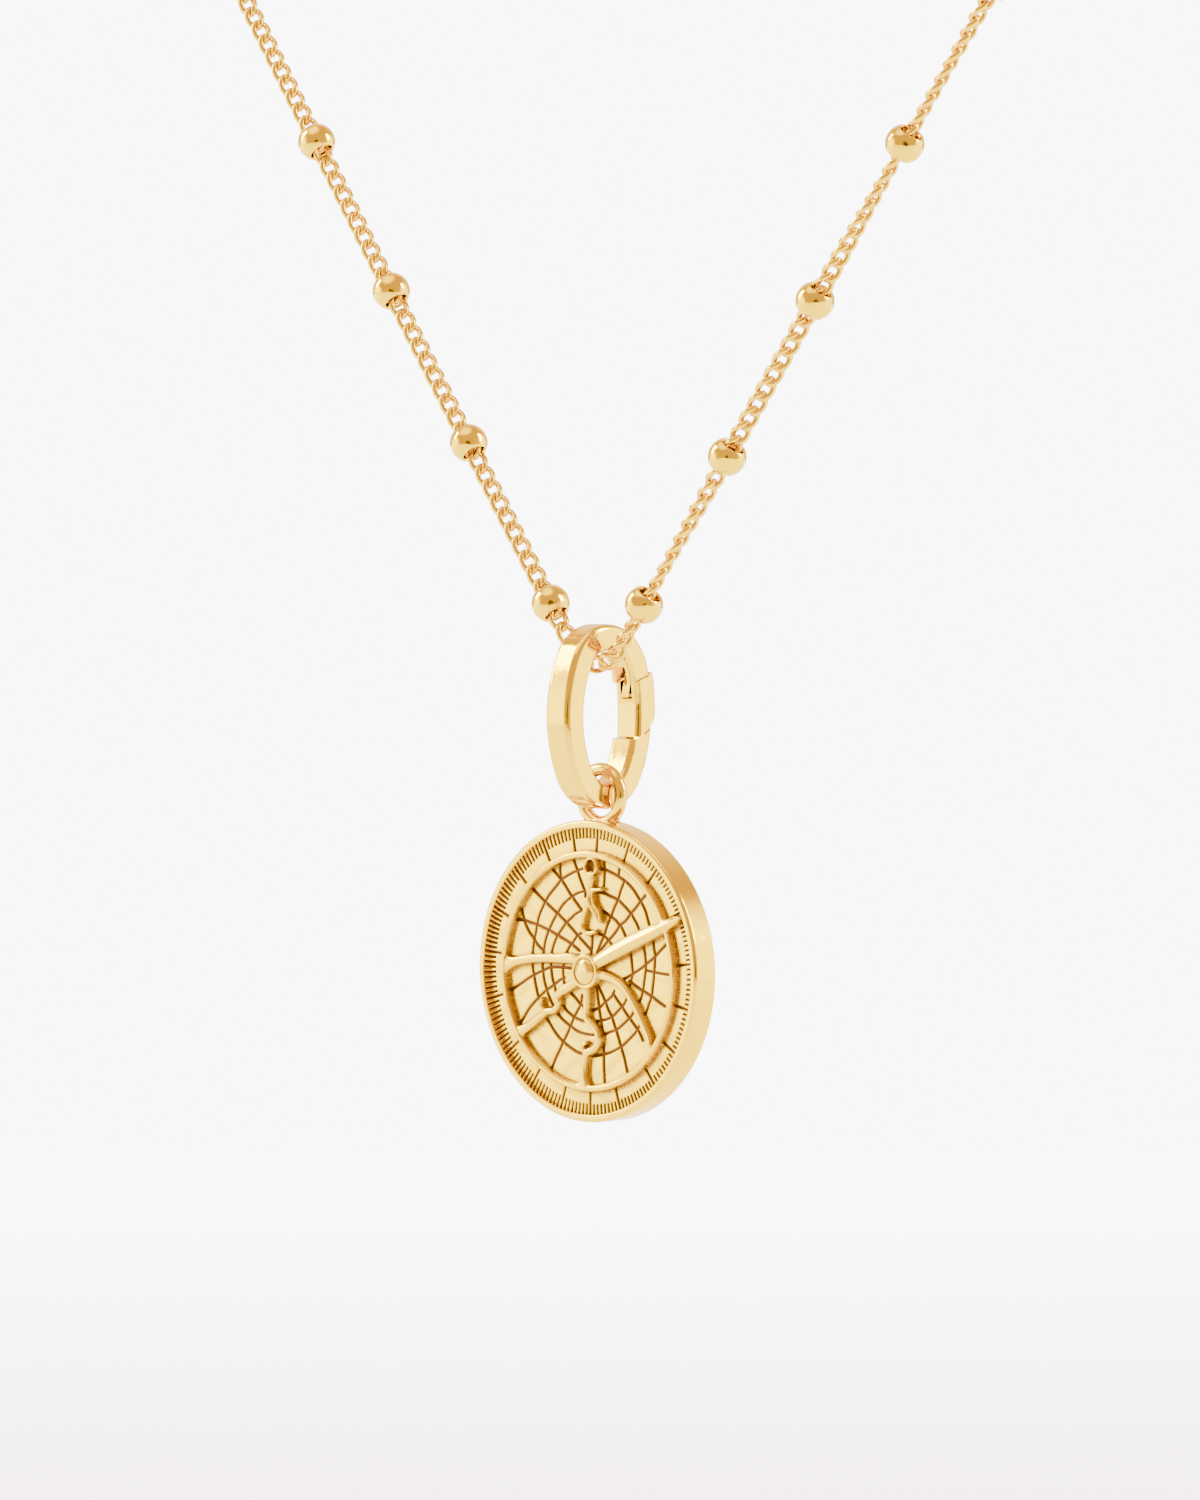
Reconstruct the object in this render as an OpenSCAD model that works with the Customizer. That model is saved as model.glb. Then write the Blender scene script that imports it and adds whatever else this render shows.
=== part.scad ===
// Necklace: a beaded curb chain, a hinged oval link and a round compass pendant
// +Z is up, the pendant faces -Y, and the origin is the middle of the clasp at the nape of the neck

/* [Chain] */
// Outer diameter of the curb chain
chain_d = 1; // [0.8:0.05:1.2]
// Angle between each front strand and the vertical
strand_lean = 36.7; // [32:0.1:40]
// How far the front strands lean back at their upper end
strand_back = 1.3; // [0.5:0.1:2]
// Bend radius of the chain where the link hangs
saddle_r = 2.15; // [2:0.05:2.6]

/* [Beads] */
// Diameter of a bead
bead_d = 2.05; // [1.8:0.05:2.6]
// Length of a bead along the chain
bead_len = 1.6; // [1.3:0.05:1.8]
// Distance from one bead to the next along the chain
bead_pitch = 10.1; // [8:0.1:14]
// Gap between a bead's bore and the chain
thread_gap = 0.1; // [0.1:0.01:0.2]

/* [Clasp] */
// Diameter of the clasp ring through the middle of its wire
clasp_d = 4.4; // [3.8:0.1:6]
// Wire diameter of the clasp ring
clasp_wire = 1; // [0.8:0.05:1.2]
// Diameter of the end rings through the middle of their wire
eye_d = 1.9; // [1.8:0.05:2.2]
// Wire diameter of the end rings
eye_wire = 0.5; // [0.4:0.05:0.5]

/* [Oval link] */
// Height of the link
link_h = 9.8; // [9:0.1:11]
// Width of the link
link_w = 6.55; // [6:0.05:6.8]
// Thickness of the link's wall, seen through the opening
link_t = 1.4; // [1.2:0.05:1.5]
// Depth of the link along the opening
link_depth = 1.7; // [1.5:0.05:1.8]
// How much tighter the link's ends are than a half circle of its width
link_end_in = 0.5; // [0.4:0.05:0.6]
// The same in the fuller quarter that holds the gate
gate_end_in = 0.15; // [0.1:0.05:0.4]
// Radius of the link's rounded edges
link_edge_r = 0.3; // [0.2:0.05:0.35]
// Gap between the link and the chain under it
link_gap = 0.21; // [0.1:0.01:0.4]
// How far the link hangs behind the chain's plane
link_back = 0.2; // [0:0.02:0.25]

/* [Gate] */
// Height of the hinge pin above the middle of the link
hinge_up = 0.14; // [0:0.02:0.3]
// Distance from the hinge pin to the link's outer side
hinge_in = 0.2; // [0.18:0.02:0.24]
// Diameter of the hinge pin
pin_d = 0.4; // [0.35:0.05:0.5]
// Gap round the hinge pin
pin_gap = 0.03; // [0.02:0.01:0.05]
// Bulge of the gate beyond the link's outer side
gate_bulge = 0.33; // [0.25:0.02:0.4]
// How far the gate's inner face lies back from the link's inner side
gate_back = 0.28; // [0.2:0.02:0.3]
// Radius of the seam at the foot of the gate
foot_seam_r = 1.88; // [1.8:0.02:1.96]
// Radius of the seam at the top of the gate
top_seam_r = 1.72; // [1.66:0.02:1.8]
// Gap along the gate's seams
seam_gap = 0.1; // [0.06:0.01:0.12]
// Width of the hinge tongue
tongue_w = 0.6; // [0.5:0.05:0.7]
// Width of the catch prong
prong_w = 0.5; // [0.4:0.05:0.6]

/* [Pendant] */
// Diameter of the pendant
disc_d = 16; // [14:0.5:18]
// Thickness of the pendant
disc_t = 1.6; // [1.4:0.05:2]
// Width of the raised rim
rim_w = 0.4; // [0.3:0.05:0.5]
// Depth of the dial below the rim
dial_drop = 0.35; // [0.25:0.05:0.45]
// Radius of the pendant's rounded edges
disc_edge_r = 0.18; // [0.1:0.02:0.19]
// Distance from the rim to the open-work ring, the width of the degree scale
scale_w = 1.2; // [1:0.05:1.5]
// Width of the open-work ring
ring_w = 0.4; // [0.3:0.05:0.5]
// Height of the rule above the rim
rule_up = 0.15; // [0.1:0.05:0.25]
// Height of the centre rivet above the rim
rivet_up = 0.32; // [0.25:0.01:0.45]
// Diameter of the collar round the centre rivet
collar_d = 1.9; // [1.6:0.1:2.2]
// Diameter of the centre rivet
rivet_d = 1.44; // [1.2:0.02:1.5]
// Wire diameter of the pendant's own loop
loop_wire = 0.7; // [0.6:0.05:0.8]
// Gap between the loop and the link's corners
loop_gap = 0.08; // [0.06:0.01:0.15]
// Distance of the loop behind the middle of the pendant's thickness
loop_back = 0.4; // [0.3:0.02:0.45]
// Depth to which the loop's wire sinks into the pendant's edge
loop_sink = 0.14; // [0.1:0.02:0.25]

/* [Hidden] */
$fn = 48;
gold = [0.93, 0.76, 0.42];
overlap = 0.1;

// Route of one half of the chain, from the end of the front strand back to the clasp
saddle_at = [0, -95, -119];
strand_end_x = 30;
route = [
    [41, -91, -67], [51, -82, -52], [58, -68, -36], [60, -52, -22],
    [57, -36, -11], [49, -21, -5], [36, -9, -2], [20, -2, 0]
];
steps_per_span = 3;
saddle_steps = 5;
tube_sides = 8;

chain_r = chain_d / 2;
eye_r = eye_d / 2;
clasp_r = clasp_d / 2;
end_gap = 0.2;

// The chain stops short of the end rings by end_gap, and the loose ring goes round the clasp's wire
eye_x = clasp_r + clasp_wire / 2 + eye_r;
chain_end = [eye_x + eye_r + eye_wire / 2 + end_gap, 0, 0];
loose_in = clasp_r - clasp_wire / 2 - eye_wire / 2 - end_gap;
loose_r = (eye_x + eye_r - loose_in) / 2;

function unit(v) = v / norm(v);
function mirrored(p) = [-p[0], p[1], p[2]];
function flipped(list) = [for (i = [len(list) - 1:-1:0]) list[i]];
function spline(a, b, c, d, t) =
    0.5 * (2 * b + (c - a) * t + (2 * a - 5 * b + 4 * c - d) * t * t
        + (3 * b - a - 3 * c + d) * t * t * t);

// Half of the chain's middle line, from the saddle to the clasp
saddle_turn = 90 - strand_lean;
saddle_points = [
    for (i = [0:saddle_steps])
        let (t = saddle_turn * i / saddle_steps)
        saddle_at + saddle_r * [sin(t), 0, 1 - cos(t)]
];
strand_dir = [sin(strand_lean), 0, cos(strand_lean)];
strand_start = saddle_points[saddle_steps];
strand_rise = strand_dir * (strand_end_x - strand_start[0]) / strand_dir[0];
strand_end = strand_start + strand_rise + [0, strand_back, 0];
strand_middle = strand_start + strand_rise / 2 + [0, 0.4 * strand_back, 0];
knots = concat([strand_middle, strand_end], route, [chain_end, 2 * chain_end - route[len(route) - 1]]);
back_points = [
    for (i = [1:len(knots) - 3], k = [0:steps_per_span - 1])
        spline(knots[i - 1], knots[i], knots[i + 1], knots[i + 2], k / steps_per_span)
];
half_line = concat(saddle_points, [strand_middle], back_points, [chain_end]);
line_points = concat(flipped([for (i = [1:len(half_line) - 1]) mirrored(half_line[i])]), half_line);

// Length of the half line up to each of its points
function sums(list, i = 0, total = 0, out = []) =
    i == len(list) - 1 ? concat(out, [total])
    : sums(list, i + 1, total + norm(list[i + 1] - list[i]), concat(out, [total]));
half_sums = sums(half_line);
half_length = half_sums[len(half_sums) - 1];
beads_per_side = floor(half_length / bead_pitch - 0.5);

// Each bead lies a little off an even pitch, more above the fourth bead on the left
bead_slips = [[-0.2, -0.6, -0.65, -0.8], [-0.2, 0.35, 0.5, 0.65, 1.9]];
function bead_at(side, k) =
    bead_pitch * (k + 0.5) + bead_slips[side][min(k, len(bead_slips[side]) - 1)];

// Sets its children on the half line, pointing their Z along it
module at_distance(s) {
    i = max([for (k = [0:len(half_sums) - 2]) half_sums[k] <= s ? k : 0]);
    dir = unit(half_line[i + 1] - half_line[i]);
    translate(half_line[i] + dir * (s - half_sums[i]))
        rotate([0, acos(dir[2]), atan2(dir[1], dir[0])])
            children();
}

function tube_ring(points, i, r) =
    let (
        last = len(points) - 1,
        dir = unit(points[min(i + 1, last)] - points[max(i - 1, 0)]),
        side = unit(cross([0, 0.6, 0.8], dir)),
        up = cross(dir, side)
    )
    [for (k = [0:tube_sides - 1])
        let (t = 360 * (k + 0.5) / tube_sides)
        points[i] + r * (side * cos(t) + up * sin(t))];

module tube(points, r) {
    n = tube_sides;
    last = len(points) - 1;
    corners = [for (i = [0:last]) for (p = tube_ring(points, i, r)) p];
    walls = [
        for (i = [0:last - 1], k = [0:n - 1])
            let (a = i * n + k, b = i * n + (k + 1) % n)
            each [[a, b, b + n], [a, b + n, a + n]]
    ];
    caps = [[for (k = [n - 1:-1:0]) k], [for (k = [0:n - 1]) last * n + k]];
    polyhedron(corners, concat(walls, caps), convexity = 8);
}

module chain() {
    color(gold) tube(line_points, chain_r);
}

module bead() {
    bore_d = chain_d + 2 * thread_gap;
    difference() {
        intersection() {
            sphere(d = bead_d);
            cylinder(d = bead_d, h = bead_len, center = true);
        }
        cylinder(d = bore_d, h = bead_len + overlap, center = true);
    }
}

module beads() {
    color(gold)
        for (side = [0, 1], k = [0:beads_per_side - 1])
            mirror([side, 0, 0]) at_distance(bead_at(side, k)) bead();
}

module wire_ring(r, wire) {
    rotate_extrude() translate([r, 0]) circle(d = wire);
}

// The clasp is one plain piece, a ring with an end ring soldered to its left side
module clasp() {
    color(gold) {
        rotate([90, 0, 0]) wire_ring(clasp_r, clasp_wire);
        translate([-eye_x, 0, 0]) rotate([90, 0, 0]) wire_ring(eye_r, eye_wire);
    }
}

// The loose end ring goes through the clasp from the right
module clasp_ring() {
    color(gold) translate([loose_in + loose_r, 0, 0]) wire_ring(loose_r, eye_wire);
}

// The link lies in the YZ plane, and its own drawing plane has Y to the right and Z up
link_z = saddle_at[2] + chain_r + link_gap + link_t - link_h / 2;
mid_a = (link_w - link_t) / 2;
mid_b = (link_h - link_t) / 2;
link_end_r = mid_a - link_end_in;
gate_end_r = mid_a - gate_end_in;

// A quarter of the oval is an end arc of radius r and a side arc that meets it without a kink
function end_c(r) = mid_b - r;
function side_r(r) = (mid_a * mid_a + end_c(r) * end_c(r) - r * r) / (2 * (mid_a - r));
function side_c(r) = side_r(r) - mid_a;
function side_turn(r) = atan2(end_c(r), side_c(r));

hinge = [link_w / 2 - hinge_in, hinge_up];
inner_y = link_w / 2 - link_t;
foot_seam_at = [-0.15, 0.6];
top_seam_at = [-0.2, 3.3];
foot_seam_c = [inner_y, hinge_up] + foot_seam_at;
top_seam_c = [inner_y, hinge_up] + top_seam_at;
gate_lean = 16;
gate_rise = 3;
gate_top = hinge_up + gate_rise;

// Distance from the hinge pin to the gate's top inner corner, which the link's wall stays clear of
gate_corner_z = top_seam_c[1] - sqrt(pow(top_seam_r + seam_gap, 2) - pow(inner_y - top_seam_c[0], 2));
gate_swing_r = norm([inner_y, gate_corner_z] - hinge);

module link_place() {
    translate([0, saddle_at[1] + link_back, link_z]) rotate([90, 0, 90]) children();
}

// A rectangle with rounded corners, r to the right and the link's depth upwards
module link_section(r_in, r_out) {
    w = r_out - r_in;
    h = link_depth;
    e = link_edge_r;
    translate([(r_in + r_out) / 2, 0]) {
        square([w - 2 * e, h], center = true);
        square([w, h - 2 * e], center = true);
        for (sx = [-1, 1], sy = [-1, 1])
            translate([sx * (w / 2 - e), sy * (h / 2 - e)]) circle(r = e, $fn = 20);
    }
}

// One arc of the link's wall, swept from an angle through a turn
module wall_arc(centre, r, from, turn, back = 0, bulge = 0) {
    translate([centre[0], centre[1], 0]) rotate([0, 0, from])
        rotate_extrude(angle = turn, $fn = 72)
            link_section(r - link_t / 2 + back, r + link_t / 2 + bulge);
}

module link_oval() {
    q = gate_end_r;
    r = link_end_r;
    turn = side_turn(r);
    wall_arc([-side_c(q), 0], side_r(q), 0, side_turn(q));
    wall_arc([0, end_c(q)], q, side_turn(q), 90 - side_turn(q));
    wall_arc([0, end_c(r)], r, 90, 90 - turn);
    wall_arc([side_c(r), 0], side_r(r), 180 - turn, 2 * turn);
    wall_arc([0, -end_c(r)], r, 180 + turn, 180 - 2 * turn);
    wall_arc([-side_c(r), 0], side_r(r), -turn, turn);
}

// Outline of the gate, grown by g on every side
module gate_outline(g) {
    r = foot_seam_r + g;
    touch = foot_seam_c + r * [cos(gate_lean), sin(gate_lean)];
    top_y = touch[0] - (gate_top - touch[1]) * tan(gate_lean);
    difference() {
        union() {
            translate(foot_seam_c) circle(r = r, $fn = 96);
            polygon([[0, foot_seam_c[1]], touch, [top_y, gate_top], [0, gate_top]]);
        }
        difference() {
            translate(top_seam_c) circle(r = top_seam_r + seam_gap - g, $fn = 96);
            translate(hinge) circle(r = gate_swing_r + g, $fn = 96);
        }
    }
}

// The hinge pin is hidden, its ends short of the link's faces by pin_cover
pin_cover = 0.25;
pin_len = link_depth - 2 * pin_cover;
module pin_hole() {
    translate([hinge[0], hinge[1], -pin_len / 2 - pin_gap])
        cylinder(d = pin_d + 2 * pin_gap, h = pin_len + 2 * pin_gap);
}

// The tongue reaches from the link's wall up to the hinge pin
knuckle_wall = 0.17;
knuckle_r = pin_d / 2 + pin_gap + knuckle_wall;
tongue_in = 1.8 * knuckle_r;
tongue_drop = foot_seam_r * 0.7;
module tongue() {
    difference() {
        translate([0, 0, -tongue_w / 2]) linear_extrude(tongue_w) {
            translate(hinge) circle(r = knuckle_r);
            translate(hinge - [tongue_in, tongue_drop]) square([tongue_in, tongue_drop]);
        }
        pin_hole();
    }
}

// The catch prong is a wedge that hangs from the wall above into the gate's notch
notch_low = hinge_up + 0.75;
notch_in = 0.7;
notch_w = prong_w + 3 * seam_gap;
recess_in = 0.42;
recess_low = hinge_up + 1.4;
recess_h = 1.05;
prong_rows = [[0.7, 2.1], [0.48, 1.06], [0.1, 0.84], [0.38, 2.1]];

module prong() {
    translate([inner_y, hinge_up, -prong_w / 2]) linear_extrude(prong_w) polygon(prong_rows);
}

// A recess in the wall above the gate lets the prong's root be seen from inside the link
module recess() {
    translate([inner_y - link_t, recess_low, -notch_w / 2]) cube([link_t + recess_in, recess_h, notch_w]);
}

module link_body() {
    color(gold) link_place() {
        difference() {
            link_oval();
            translate([0, 0, -link_depth]) linear_extrude(2 * link_depth) gate_outline(seam_gap);
            recess();
        }
        tongue();
        prong();
    }
}

module hinge_pin() {
    color(gold) link_place()
        translate([hinge[0], hinge[1], -pin_len / 2]) cylinder(d = pin_d, h = pin_len);
}

// The gate has a slot for the tongue below and a notch for the prong above
module link_gate() {
    r = gate_end_r;
    slot_w = tongue_w + 2 * seam_gap;
    slot_in = tongue_in + seam_gap;
    color(gold) link_place()
        difference() {
            intersection() {
                wall_arc([-side_c(r), 0], side_r(r), -side_turn(r), 2 * side_turn(r), gate_back, gate_bulge);
                translate([0, 0, -link_depth]) linear_extrude(2 * link_depth) gate_outline(0);
            }
            translate([0, 0, -slot_w / 2]) linear_extrude(slot_w) {
                translate(hinge) circle(r = knuckle_r + seam_gap);
                translate(hinge - [slot_in, link_h]) square([link_w, link_h + seam_gap]);
            }
            translate([inner_y - link_t, notch_low, -notch_w / 2])
                cube([link_t + notch_in, link_h, notch_w]);
            pin_hole();
        }
}

// The pendant hangs from the middle of the link's lower wall
loop_z = link_z - mid_b;
corner_x = link_depth / 2 - link_edge_r;
corner_z = link_t / 2 - link_edge_r;
loop_hole_r = norm([corner_x, corner_z]) + link_edge_r + loop_gap;
loop_r = loop_hole_r + loop_wire / 2;
disc_r = disc_d / 2;
disc_z = loop_z - loop_r + loop_sink - disc_r;
dial_r = disc_r - rim_w;
ring_r = dial_r - scale_w;
plate_r = ring_r - ring_w;
front = disc_t / 2;
dial = front - dial_drop;
dial_turn = 2.3;

// The pendant's own drawing plane has X to the right, Z up and the front towards the viewer
module pendant_place() {
    translate([0, saddle_at[1], disc_z]) rotate([90, 0, 0]) children();
}

// Points along a stroke, rounded through its rows of x, y and width
function stroke_line(rows, steps) =
    let (last = len(rows) - 1)
    concat(
        [for (i = [0:last - 1], k = [0:steps - 1])
            spline(rows[max(i - 1, 0)], rows[i], rows[i + 1], rows[min(i + 2, last)], k / steps)],
        [rows[last]]);

function stroke_side(line, i, side) =
    let (
        last = len(line) - 1,
        d = line[min(i + 1, last)] - line[max(i - 1, 0)],
        across = unit([-d[1], d[0]])
    )
    [line[i][0], line[i][1]] + side * across * line[i][2] / 2;

// A raised stroke of the given height above the dial, narrower along its top
module stroke(rows, height, shrink = 0.6, steps = 3) {
    line = stroke_line(rows, steps);
    for (part = [[1, 0.6], [shrink, 1]]) {
        left = [for (i = [0:len(line) - 1]) stroke_side(line, i, part[0])];
        right = [for (i = [len(line) - 1:-1:0]) stroke_side(line, i, -part[0])];
        translate([0, 0, dial - overlap])
            linear_extrude(overlap + height * part[1]) scale(plate_r) polygon(concat(left, right));
    }
}

// Rows of x, y and width, as shares of the plate's radius
rule = [[0, 0.03, 0.12], [0.5, 0.03, 0.15], [0.9, 0.015, 0.13], [1.15, 0.005, 0.09], [1.25, 0, 0.03]];
rule_angle = 26.5;
left_arm = [
    [-0.1, 0.07, 0.083], [-0.2, 0.087, 0.083], [-0.367, 0.075, 0.073], [-0.55, 0.063, 0.067],
    [-0.733, 0.042, 0.067], [-0.867, 0.017, 0.073], [-0.958, -0.003, 0.1], [-1.033, -0.017, 0.18]
];
right_arm = [
    [0.1, -0.02, 0.09], [0.25, -0.03, 0.08], [0.43, -0.1, 0.075], [0.575, -0.25, 0.072],
    [0.7, -0.43, 0.075], [0.76, -0.53, 0.085], [0.79, -0.585, 0.04]
];
foot_arm = [
    [0, -0.08, 0.067], [0, -0.25, 0.075], [0, -0.4, 0.07], [0.06, -0.46, 0.067],
    [0.14, -0.53, 0.067], [0.15, -0.62, 0.07], [0.09, -0.685, 0.07], [0.015, -0.725, 0.07],
    [-0.01, -0.8, 0.067], [-0.015, -0.92, 0.08], [-0.015, -1.03, 0.18]
];
foot_curl = [[0.012, -0.72, 0.05], [-0.033, -0.685, 0.05], [-0.025, -0.65, 0.045], [0.01, -0.635, 0.035]];
low_arm = [
    [-0.1, -0.08, 0.08], [-0.25, -0.165, 0.085], [-0.355, -0.235, 0.075], [-0.35, -0.31, 0.062],
    [-0.4, -0.375, 0.062], [-0.5, -0.4, 0.067], [-0.575, -0.45, 0.075],
    [-0.67, -0.52, 0.08], [-0.79, -0.59, 0.1], [-0.87, -0.64, 0.18]
];
low_curl = [[-0.515, -0.4, 0.05], [-0.56, -0.34, 0.05], [-0.55, -0.29, 0.035]];
stem = [[0.008, 0.86, 0.067], [0.008, 0.79, 0.065], [-0.003, 0.725, 0.06]];
stem_bar = [[-0.017, 0.727, 0.04], [0.075, 0.727, 0.037], [0.14, 0.737, 0.033]];
ribbon = [
    [-0.003, 0.73, 0.045], [-0.01, 0.65, 0.045], [0.005, 0.592, 0.045], [0.05, 0.542, 0.045],
    [0.092, 0.497, 0.045], [0.117, 0.463, 0.04]
];
ribbon_side = [
    [0.033, 0.72, 0.033], [0.037, 0.658, 0.033], [0.052, 0.608, 0.033], [0.085, 0.567, 0.033],
    [0.13, 0.517, 0.033], [0.143, 0.467, 0.035]
];
branch = [
    [-0.012, 0.64, 0.045], [-0.042, 0.558, 0.05], [-0.07, 0.483, 0.052], [-0.083, 0.417, 0.052],
    [-0.07, 0.367, 0.05], [-0.025, 0.338, 0.048], [0.033, 0.342, 0.042], [0.083, 0.358, 0.035]
];
eyelet_at = [0.005, 0.928];
eyelet_r = 0.088;
eyelet_hole_r = 0.055;

module raised_work() {
    arm_height = dial_drop * 0.95;
    intersection() {
        union()
            for (rows = [left_arm, right_arm, foot_arm, low_arm]) stroke(rows, arm_height);
        cylinder(r = ring_r - overlap, h = disc_t);
    }
    for (rows = [foot_curl, low_curl, stem, stem_bar, ribbon, ribbon_side, branch])
        stroke(rows, arm_height);
    rotate([0, 0, rule_angle]) stroke(rule, dial_drop + rule_up, 0.7);
    translate([eyelet_at[0] * plate_r, eyelet_at[1] * plate_r, dial - overlap])
        difference() {
            cylinder(r = eyelet_r * plate_r, h = overlap + arm_height);
            translate([0, 0, overlap]) cylinder(r = eyelet_hole_r * plate_r, h = disc_t);
        }
    translate([0, 0, dial - overlap]) {
        difference() {
            cylinder(r = ring_r, h = overlap + dial_drop, $fn = 96);
            cylinder(r = plate_r, h = disc_t, $fn = 96);
        }
        cylinder(d = collar_d, h = overlap + dial_drop + rule_up);
        cylinder(d = rivet_d, h = overlap + dial_drop + rivet_up);
    }
}

module disc() {
    e = disc_edge_r;
    rotate_extrude($fn = 128) difference() {
        union() {
            translate([0, -front]) square([disc_r - e, disc_t]);
            translate([0, e - front]) square([disc_r, disc_t - 2 * e]);
            for (s = [-1, 1]) translate([disc_r - e, s * (front - e)]) circle(r = e);
        }
        translate([0, dial]) square([dial_r, disc_t]);
    }
}

// A wire ring standing in the pendant's own plane, soldered to its edge
module loop() {
    solder_t = 0.3;
    solder_turn = 16;
    difference() {
        translate([0, 0, -loop_back]) {
            translate([0, loop_z - disc_z, 0]) wire_ring(loop_r, loop_wire);
            rotate([0, 0, 90 - solder_turn / 2]) rotate_extrude(angle = solder_turn, $fn = 128)
                translate([disc_r - solder_t / 2, -loop_wire / 2]) square([solder_t, loop_wire]);
        }
        translate([0, loop_z - disc_z, -disc_t]) cylinder(r = loop_hole_r, h = 2 * disc_t);
    }
}

module pendant() {
    color(gold) pendant_place() {
        disc();
        rotate([0, 0, -dial_turn]) raised_work();
        loop();
    }
}

chain();
beads();
clasp();
clasp_ring();
link_body();
hinge_pin();
link_gate();
pendant();
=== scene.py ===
import bpy, math
import numpy as np
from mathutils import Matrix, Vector


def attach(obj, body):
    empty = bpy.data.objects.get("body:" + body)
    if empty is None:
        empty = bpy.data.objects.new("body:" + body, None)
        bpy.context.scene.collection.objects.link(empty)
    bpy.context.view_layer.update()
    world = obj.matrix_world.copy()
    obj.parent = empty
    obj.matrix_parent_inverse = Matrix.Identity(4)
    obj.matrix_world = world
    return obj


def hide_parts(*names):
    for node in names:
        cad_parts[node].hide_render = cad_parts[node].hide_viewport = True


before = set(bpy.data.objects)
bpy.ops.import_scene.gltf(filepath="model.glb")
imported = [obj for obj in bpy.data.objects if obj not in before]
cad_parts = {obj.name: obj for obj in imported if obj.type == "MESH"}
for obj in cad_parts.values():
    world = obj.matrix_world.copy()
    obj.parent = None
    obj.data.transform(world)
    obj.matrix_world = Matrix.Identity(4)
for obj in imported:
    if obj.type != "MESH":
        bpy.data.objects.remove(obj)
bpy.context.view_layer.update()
MM = 0.001
PI = math.pi

# Lengths are in millimetres, unless a comment says otherwise.

# The chain's route, as in the part's source: the bend in the link, the straight strand and the way
# round the neck
SADDLE = np.array([0.0, -95.0, -119.0])
SADDLE_R, SADDLE_STEPS = 2.15, 5
STRAND_LEAN, STRAND_BACK, STRAND_END_X = 36.7, 1.3, 30.0
STRAND_BOW = 0.4  # share of its lean back that a strand has at its middle
ROUTE = np.array([[41, -91, -67], [51, -82, -52], [58, -68, -36], [60, -52, -22],
                  [57, -36, -11], [49, -21, -5], [36, -9, -2], [20, -2, 0]], float)
ROUTE_STEPS = 3
EYE_OUT, EYE_GAP = 4.85, 0.2
CHAIN_END = np.array([EYE_OUT + EYE_GAP, 0.0, 0.0])

# Beads, and how far each has slipped from its even place, to the right and to the left
BEAD_PITCH, BEAD_R, BEAD_HALF, BORE_R = 10.1, 1.025, 0.74, 0.57
BEAD_SLIPS = {1: [-0.2, -0.6, -0.65, -0.8], -1: [-0.2, 0.35, 0.5, 0.65, 1.9]}
# Radius and height of the dented mouth of a bead, from its lip into the bore
BEAD_MOUTH = [(0.7, 0.728), (0.678, BEAD_HALF), (0.655, 0.725), (0.61, 0.62), (BORE_R, 0.45), (BORE_R, 0.15)]
BEAD_LIP, BEAD_ROWS = 0.03, 15  # the lip is in radians
# A direction that no strand runs along, to turn the beads' first side by
BEAD_SIDE = [0.3, 0.5, 0.8]

# Disc, with heights in front of its mid-thickness; DROP is from the plate to the raised work's top
DISC = np.array([0.0, -95.0, -135.26])
DISC_R, DIAL_R, RING_OUT, RING_IN = 8.0, 7.6, 6.4, 6.0
FRONT, DIAL, DROP = 0.8, 0.45, 0.35
DIAL_TURN = math.radians(2.3)
EDGE_R, LIP_R = 0.18, 0.06
LOOP_Z, LOOP_R, LOOP_WIRE, LOOP_BACK = 9.27, 1.41, 0.35, 0.4
SOLDER_HALVES, SOLDER_Z, SOLDER_ROWS, SOLDER_SIDES = (1.38, 0.4, 0.34), 7.85, 12, 24

# Curb links: pitch, half length, half width, wire radius and twist
PITCH, LINK_A, LINK_B, WIRE, TWIST = 0.95, 0.645, 0.38, 0.165, math.radians(44)
CHAIN_SHORT = 0.55
# How much the wire's outer side turns along the link, across it and out of its flat
WIRE_OUT = [0.35, 1, 1]
END_LINK_X, END_LINK_A, END_LINK_B = 4.84, 0.62, 0.5
# The flat of the front strands faces this way, and that of the rest faces out from the neck's middle
STRAND_FACE = np.array([0.695, -0.719, 0.0])
NECK_Y, FACE_Z, FACE_FADE = -50, -85, 30
# Places along the chain from the saddle, + to the right, with the roll of its flat there in degrees
ROLLS = [(-60, 0), (-45, 5), (-30, -5), (-15, 3), (-6, 0), (-3, -8), (0, 0), (2.5, 50), (5, 72), (8, 70), (10, 60),
         (12, 42), (14, 28), (17, 12), (25, 15), (27, 25), (30, 55), (33, 70), (40, 72), (44, 50), (60, 0)]


def new_object(name, verts_mm, faces, material, body, normals=None, attributes=None):
    me = bpy.data.meshes.new(name)
    me.from_pydata((np.asarray(verts_mm, float) * MM).tolist(), [], [list(map(int, f)) for f in faces])
    me.materials.append(material)
    me.polygons.foreach_set("use_smooth", [True] * len(me.polygons))
    for key, values in (attributes or {}).items():
        a = me.attributes.new(key, "FLOAT", "POINT")
        a.data.foreach_set("value", np.asarray(values, np.float32))
    me.update()
    if normals is not None:
        me.normals_split_custom_set_from_vertices([tuple(n) for n in normals])
    ob = bpy.data.objects.new(name, me)
    bpy.context.scene.collection.objects.link(ob)
    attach(ob, body)
    return ob


def unit(v):
    v = np.asarray(v, float)
    return v / np.linalg.norm(v, axis=-1, keepdims=True)


def spline_point(a, b, c, d, t):
    """Point at share t of the way from b to c, on a smooth line through a, b, c and d."""
    return 0.5 * (2 * b + (c - a) * t + (2 * a - 5 * b + 4 * c - d) * t ** 2 + (3 * b - a - 3 * c + d) * t ** 3)


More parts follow.
